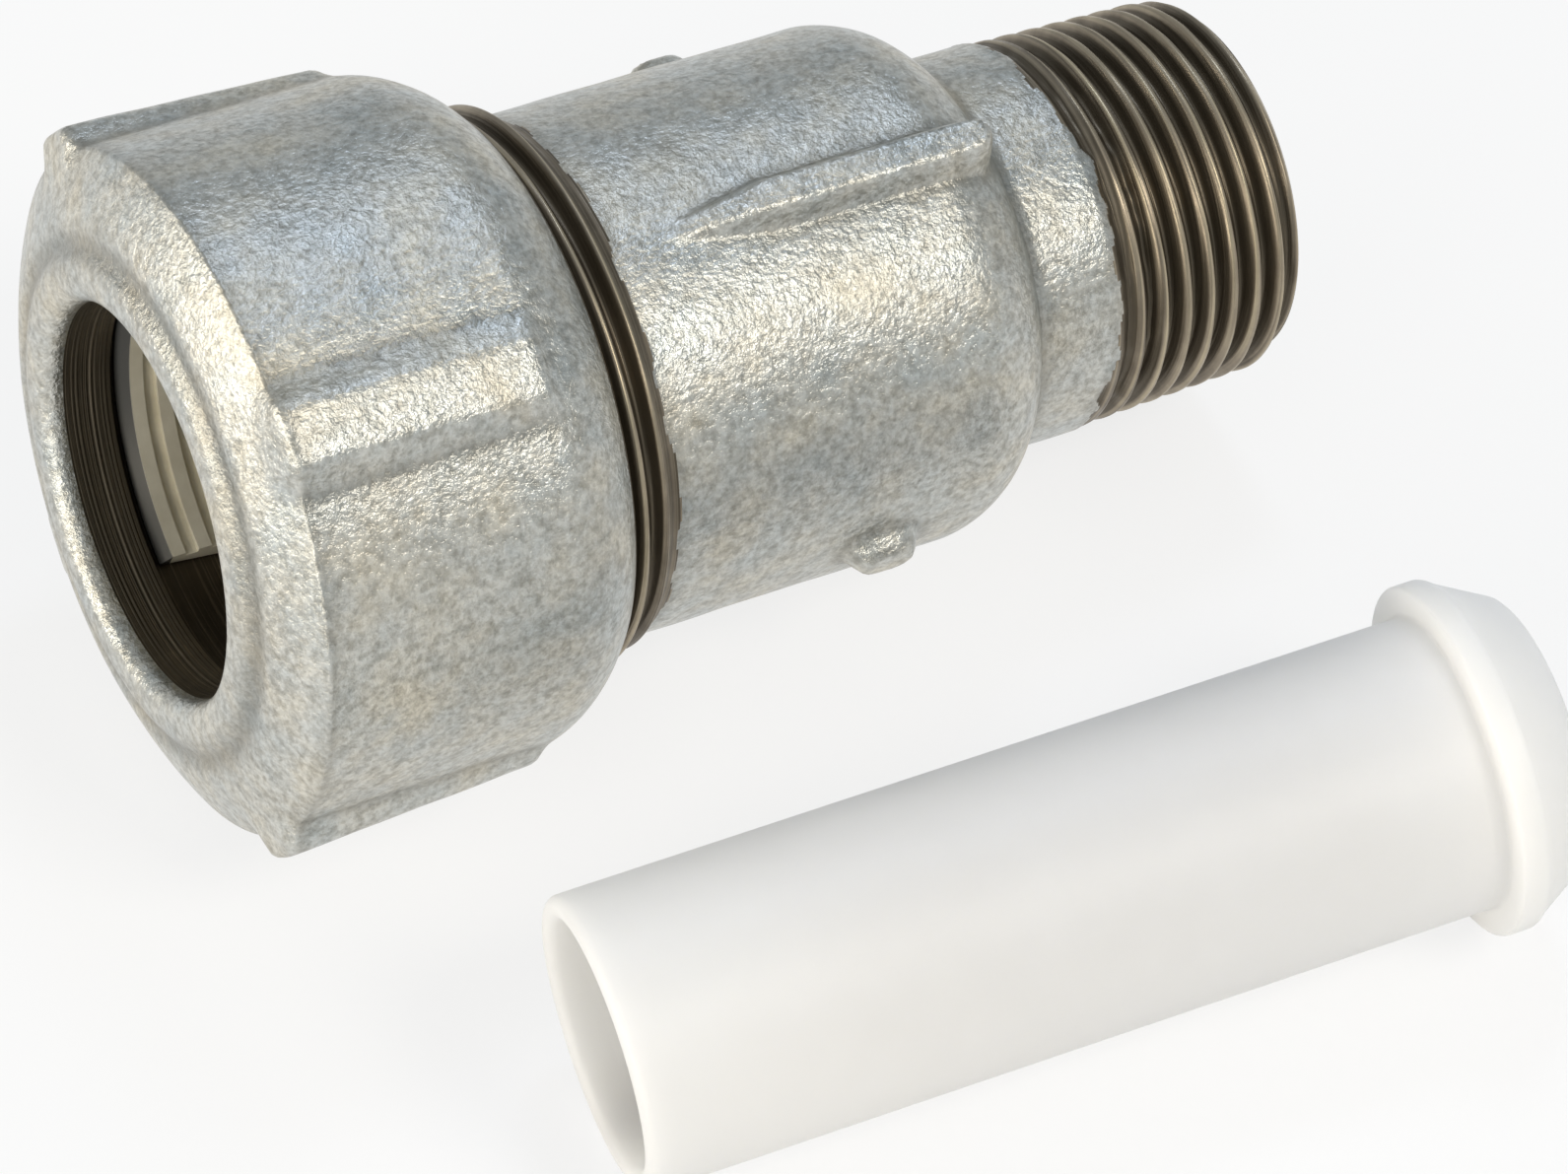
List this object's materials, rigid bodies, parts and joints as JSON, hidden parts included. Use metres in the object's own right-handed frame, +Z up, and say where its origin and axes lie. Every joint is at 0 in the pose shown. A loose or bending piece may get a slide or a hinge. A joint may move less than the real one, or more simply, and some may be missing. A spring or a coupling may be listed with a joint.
{
  "type": "gas pipe compression adapter",
  "caption": "Cast compression adapter for plastic gas pipe: ribbed clamp nut over a grip ring and seal, round body, outside taper thread, with a loose pipe liner beside it.",
  "frame": {"origin": "centre of the bounding box on the floor", "axes": "+X along the lying fitting from the clamp nut towards the taper thread, seen from above; +Z up; the loose liner lies on the -Y side"},
  "size_m": [0.105, 0.1058, 0.0602],
  "materials": {
    "body_casting": "hot-dip galvanised, threads machined bare",
    "nut_casting": "hot-dip galvanised, bore machined bare",
    "grip_ring": "turned, dull",
    "washer": "plain stamped",
    "seal": "matt black",
    "liner": "satin moulded"
  },
  "bodies": {
    "body": {"body": "body_casting", "seal_ring": "seal", "support_liner": "liner"},
    "clamp": {"clamp_ring": "grip_ring", "thrust_washer": "washer"},
    "nut": {"clamp_nut": "nut_casting"}
  },
  "joints": [
    {"name": "clamp_feed", "type": "slide", "parent": "body", "child": "clamp", "axis": [0.9936, 0, -0.1133], "range_m": [-0.0116, 0.0035], "deforming": ["seal_ring"]},
    {"name": "nut_turn", "type": "hinge", "parent": "clamp", "child": "nut", "pos_m": [-0.05017, 0.02394, 0.03178], "axis": [0.9936, 0, -0.1133], "range_deg": [-1800, 540]}
  ],
  "couplings": [
    {"joint": "clamp_feed", "follows": "nut_turn", "m_per_rad": 0.00036749}
  ]
}
